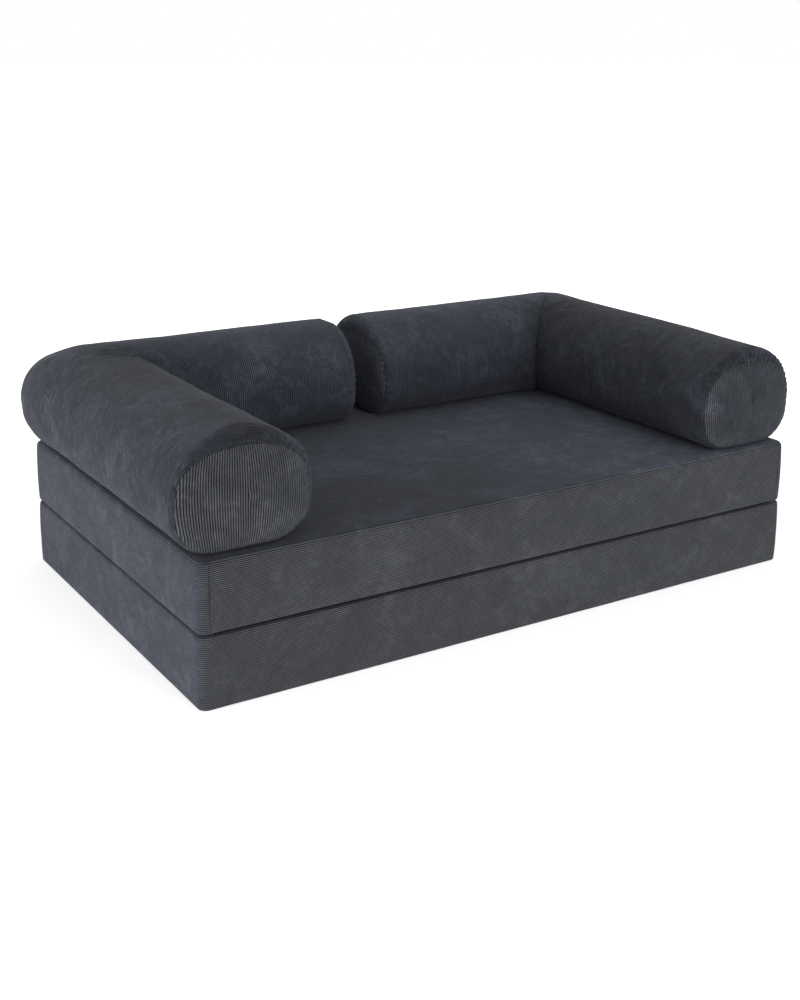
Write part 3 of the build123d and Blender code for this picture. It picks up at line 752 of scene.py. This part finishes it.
def makeBolsters():
    low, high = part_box("left_bolster_cover")
    shell, corner, lengths = bolsterShell("bolsterShell", low, high, bolster["inset"])
    print("bolster shell", len(shell.data.vertices), "points")
    held = []
    for v in shell.data.vertices:
        p = v.co - corner
        rim = skinPlace(p, lengths[armPlace(p)[2]])[1]
        onCrease = abs(p.x + p.y) < bolster["heldCrease"] and p.x > 0
        if abs(rim) < bolster["heldRim"] or onCrease or v.co.z < low.z + bolster["heldBase"]:
            held.append(v.index)
    heights = puffUp(shell, held, bolster["pressure"], bolster["swell"])
    print("bolster puffed up,", len(held), "points held")
    puff = shell.data.attributes.new("puff", "FLOAT", "POINT")
    puff.data.foreach_set("value", heights)
    for side, mirrored in (("left", False), ("right", True)):
        obj = bpy.data.objects.new(side + "BolsterSkin", shell.data.copy())
        obj.data.name = obj.name
        bpy.context.scene.collection.objects.link(obj)
        subdivideOnce(obj)
        dressBolster(obj, corner, lengths, low, high.y, 3.7 if mirrored else 9.2, not mirrored)

        def describe(polygon, co):
            p = co - corner
            centre = polygon.center - corner
            arm = 0 if centre.x + centre.y < 0 else 1      # keep a face on its own side of the mitre
            along, lateral = (-p.y, -p.x) if arm == 0 else (p.x, p.y)
            rim = skinPlace(p, lengths[arm], arm)[1]
            turn = math.atan2(lateral, p.z)
            top = max(0, math.cos(min(math.pi / 2, turn * 0.9 if turn > 0 else -turn * 0.7)))
            outer = max(0, math.sin(turn))
            if skinPlace(centre, lengths[arm], arm)[1] > 0:
                bowed = lateral * 1.12 / (1 + 0.22 * (1 - (p.z / 0.115) ** 2))
                # the right cap is dark, but for a band of clear ribs along its inner rim; the left one is drawn
                # darker, with fainter ribs, over its inner third
                if mirrored:
                    band = max(0, 1 - rim / 0.05) * max(0, -math.sin(turn))
                    tone, clear = 0.60 + 0.35 * band, 0.35 + 0.65 * band
                else:
                    patchMask = min(1, max(0, (-lateral - 0.02) / 0.07)) * max(0, 1 - abs(p.z) / 0.14)
                    tone, clear = 0.88 * (1 - 0.2 * patchMask), 1.3 - 0.6 * patchMask
                return (bowed, p.z), (rim, 1.0), (tone, 0.2 + 0.5 * top), (0.7, 0.15), (0.75, clear)
            # the side arm's pile lies darker than the back's; over that, painted light: the side arm is painted
            # lighter on its outer flank and the back arm lighter towards its top; at the crease the two meet sharply
            sideNapAndLight = 0.43 + 0.16 * outer
            backNapAndLight = 0.84 + 0.16 * max(0, p.z / bolster["crown"])
            mitre = (p.x + p.y) * slant
            inner = (p.x - p.y) * slant
            crease = min(1, max(0, (inner - (0.0 if mirrored else 0.065)) / 0.04))
            share = min(1, max(0, mitre / 0.16 + 0.5))
            tone = sideNapAndLight + (backNapAndLight - sideNapAndLight) * share
            # painted shade: on the inner side the tone is painted darker towards the crease, most of all on the back
            # arm
            if inner > 0:
                shade = math.exp(-abs(mitre) / (0.055 if arm else 0.03)) * (0.45 if arm else 0.2)
                tone += ((backNapAndLight if arm else sideNapAndLight) * (1 - shade) - tone) * crease
            if crease == 0:
                mitre = 1.0
            # past the brow the ribs run on down the cap
            x, z = sagged(math.atan2(p.z, abs(lateral)), 0)
            pastBrow = min(1, max(0, (along - lengths[arm] + 0.075) / 0.03))
            drop = max(0, math.hypot(x, z) - math.hypot(lateral, p.z)) * pastBrow
            strength = crease if along < 0.2 else 0.2 + 0.5 * top
            scuffed = (0.30 + 0.45 * outer) * share * 0.3 + (0.30 + 0.45 * outer) * (1 - share)
            weavePlace = (along + drop, turn * bolster["crown"])
            return weavePlace, (rim, mitre), (tone, strength), (1.1 - 0.5 * share, scuffed), (0.0, 0.55 + 0.3 * share)

        weaveAndSeams(obj, describe)
        if mirrored:
            obj.data.transform(Matrix.Scale(-1, 4, (1, 0, 0)))
            obj.data.flip_normals()
        obj.data.shade_smooth()
        setMaterial(obj, corduroy)
        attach(obj, side + "_bolster")
        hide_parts(side + "_bolster_cover")
        print(obj.name, len(obj.data.polygons), "faces")
    bpy.data.objects.remove(shell)


def makeBolsterFoam(foam):
    # the two foam cores of each bolster, cut square to each other at the mitre
    low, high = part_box("left_bolster_cover")
    shell, corner, lengths = bolsterShell("foamShell", low, high, bolster["foamInset"])
    for core, turn in (("side", 1), ("back", -1)):
        for side, mirror in (("left", 1), ("right", -1)):
            bm = bmesh.new()
            bm.from_mesh(shell.data)
            everything = bm.verts[:] + bm.edges[:] + bm.faces[:]
            place = corner - Vector((turn, turn, 0)) * 0.0003      # the cores stand this far off the mitre
            cut = bmesh.ops.bisect_plane(bm, geom=everything, dist=1e-6, clear_outer=True,
                                         plane_co=place, plane_no=(turn, turn, 0))
            rim = [g for g in cut["geom_cut"] if isinstance(g, bmesh.types.BMEdge)]
            bmesh.ops.contextual_create(bm, geom=rim)
            bmesh.ops.scale(bm, vec=(mirror, 1, 1), verts=bm.verts)
            bmesh.ops.recalc_face_normals(bm, faces=bm.faces)
            obj = smoothObject(f"{side}{core.capitalize()}Foam", bm)
            obj.data.set_sharp_from_angle(angle=math.radians(50))
            setMaterial(obj, foam)
            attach(obj, side + "_bolster")
            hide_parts(f"{side}_bolster_{core}_core")
    bpy.data.objects.remove(shell)
    print("bolster foam made")


def makeHingeStrip():
    # the cloth hinge: a strip folded round the front of the joint between the two sections
    low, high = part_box("hinge_lower_leaf")
    fold = frame["joints"][0]["pos_m"]
    foldY, foldZ = low.y + 0.0016, fold[2]
    run, noseRadius = high.y - foldY, 0.0008
    half = run + noseRadius * math.pi / 2
    bm = bmesh.new()
    bmesh.ops.create_grid(bm, x_segments=120, y_segments=16, size=1.0)
    for v in bm.verts:
        s = v.co.y * half
        x = v.co.x * high.x
        bend = max(-math.pi / 2, min(math.pi / 2, s / noseRadius))
        back = max(0, abs(s) - noseRadius * math.pi / 2)
        v.co = (x, foldY + noseRadius - noseRadius * math.cos(bend) + back, foldZ + noseRadius * math.sin(bend))
    bmesh.ops.recalc_face_normals(bm, faces=bm.faces)
    obj = smoothObject("hingeStrip", bm)
    solid = obj.modifiers.new("thickness", "SOLIDIFY")
    solid.thickness, solid.offset = 0.0007, 0
    applyModifiers(obj)
    setMaterial(obj, plainCloth("wovenPolyesterStrip", "#16181b", 900, 0.9))
    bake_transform(obj)
    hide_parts("hinge_lower_leaf", "hinge_upper_leaf")
    print("hinge strip made")


corduroy = corduroyMaterial("brushedCottonCorduroy", "#34373d", "#44474f", "#5f636d", 0.42, 0.60)
makeSection("lowerSectionCover", "lower_cover", "lower_section",
            section["floorRound"], section["matingRound"], 0.0, False, 1.3)
makeSection("upperSectionCover", "upper_cover", "upper_section",
            section["matingRound"], section["seatRound"], section["crown"], True, 6.1)
makeBolsters()
makeHingeStrip()

foam = foamMaterial("openCellFoam")
makeBolsterFoam(foam)
zipTape = zipTapeMaterial("nylonCoilZip")
zipZinc = lacqueredZinc("blackLacqueredZinc")
gripCloth = dottedCloth("rubberDottedPolyester")
for name, node in nodes.items():
    if "foam_core" in name or name.endswith("_core"):
        setMaterial(node, foam)
    elif name.endswith("zip_tape"):
        setMaterial(node, zipTape)
    elif "zip_" in name:
        setMaterial(node, zipZinc)
    elif name == "nonslip_base":
        setMaterial(node, gripCloth)
print("materials set")

# floor, light and camera
floorMesh = bmesh.new()
bmesh.ops.create_grid(floorMesh, x_segments=2, y_segments=2, size=40.0)
floor = smoothObject("floor", floorMesh)
floorMaterial = newMaterial("paintedFloor")
lightPath = addNode(floorMaterial, "ShaderNodeLightPath")
shown = addNode(floorMaterial, "ShaderNodeMath",
    {0: lightPath.outputs["Is Camera Ray"], 1: lightPath.outputs["Is Glossy Ray"]}, operation="MAXIMUM")
floorPlace = addNode(floorMaterial, "ShaderNodeTexCoord")
fromMiddle = addNode(floorMaterial, "ShaderNodeVectorMath", {0: floorPlace.outputs["Object"]}, operation="LENGTH")
distanceGlow = addNode(floorMaterial, "ShaderNodeMapRange", {
    "Value": fromMiddle.outputs["Value"], "From Min": 0.9, "From Max": 2.2, "To Min": 0.16, "To Max": 0.5})
glow = addNode(floorMaterial, "ShaderNodeMath",
    {0: shown.outputs[0], 1: distanceGlow.outputs["Result"], 2: 0.38}, operation="MULTIPLY_ADD")
floorShader = addNode(floorMaterial, "ShaderNodeBsdfPrincipled", {
    "Base Color": (0.93, 0.93, 0.93, 1.0), "Roughness": 0.9, "Specular IOR Level": 0.0,
    "Emission Color": (1.0, 1.0, 1.0, 1.0), "Emission Strength": glow.outputs[0]})
addNode(floorMaterial, "ShaderNodeOutputMaterial", {"Surface": floorShader.outputs["BSDF"]})
setMaterial(floor, floorMaterial)

world = bpy.data.worlds.new("studio")
bpy.context.scene.world = world
world.use_nodes = True
world.node_tree.nodes.clear()
path = addNode(world, "ShaderNodeLightPath")
seen = addNode(world, "ShaderNodeMath", {0: path.outputs["Is Camera Ray"], 1: path.outputs["Is Glossy Ray"]},
               operation="MAXIMUM")
strength = addNode(world, "ShaderNodeMapRange", {"Value": seen.outputs[0], "To Min": 0.60, "To Max": 1.0})
background = addNode(world, "ShaderNodeBackground", {
    "Color": (1.0, 1.0, 1.0, 1.0), "Strength": strength.outputs["Result"]})
addNode(world, "ShaderNodeOutputWorld", {"Surface": background.outputs["Background"]})


def softLamp(name, place, target, width, height, power):
    lamp = bpy.data.lights.new(name, "AREA")
    lamp.shape, lamp.size, lamp.size_y, lamp.energy = "RECTANGLE", width, height, power
    obj = bpy.data.objects.new(name, lamp)
    obj.location = place
    obj.rotation_euler = (Vector(target) - Vector(place)).to_track_quat("-Z", "Y").to_euler()
    bpy.context.scene.collection.objects.link(obj)


softLamp("lowLeft", (-3.3, -0.5, 0.42), (0, 0, 0.25), 2.2, 0.7, 34)
softLamp("front", (0.3, -4.5, 1.8), (0, 0, 0.2), 2.0, 2.0, 48)

yaw, pitch, roll = (math.radians(camera[k]) for k in ("yaw", "pitch", "roll"))
forward = Vector((math.cos(pitch) * math.sin(yaw), math.cos(pitch) * math.cos(yaw), -math.sin(pitch)))
right = Vector((math.cos(yaw), -math.sin(yaw), 0))
up = right.cross(forward)
turnedRight = right * math.cos(roll) + up * math.sin(roll)
turnedUp = up * math.cos(roll) - right * math.sin(roll)
eye = bpy.data.cameras.new("camera")
eye.sensor_fit, eye.sensor_width, eye.sensor_height = "AUTO", camera["film"], camera["film"]
eye.lens = camera["focal"] * camera["film"] / camera["imageHeight"]
eye.shift_y = camera["shiftY"]
eye.clip_end = 200
cameraObject = bpy.data.objects.new("camera", eye)
rotation = Matrix((turnedRight, turnedUp, -forward)).transposed().to_4x4()
cameraObject.matrix_world = Matrix.Translation(camera["place"]) @ rotation
bpy.context.scene.collection.objects.link(cameraObject)
bpy.context.scene.camera = cameraObject
bpy.context.scene.view_settings.view_transform = "Standard"
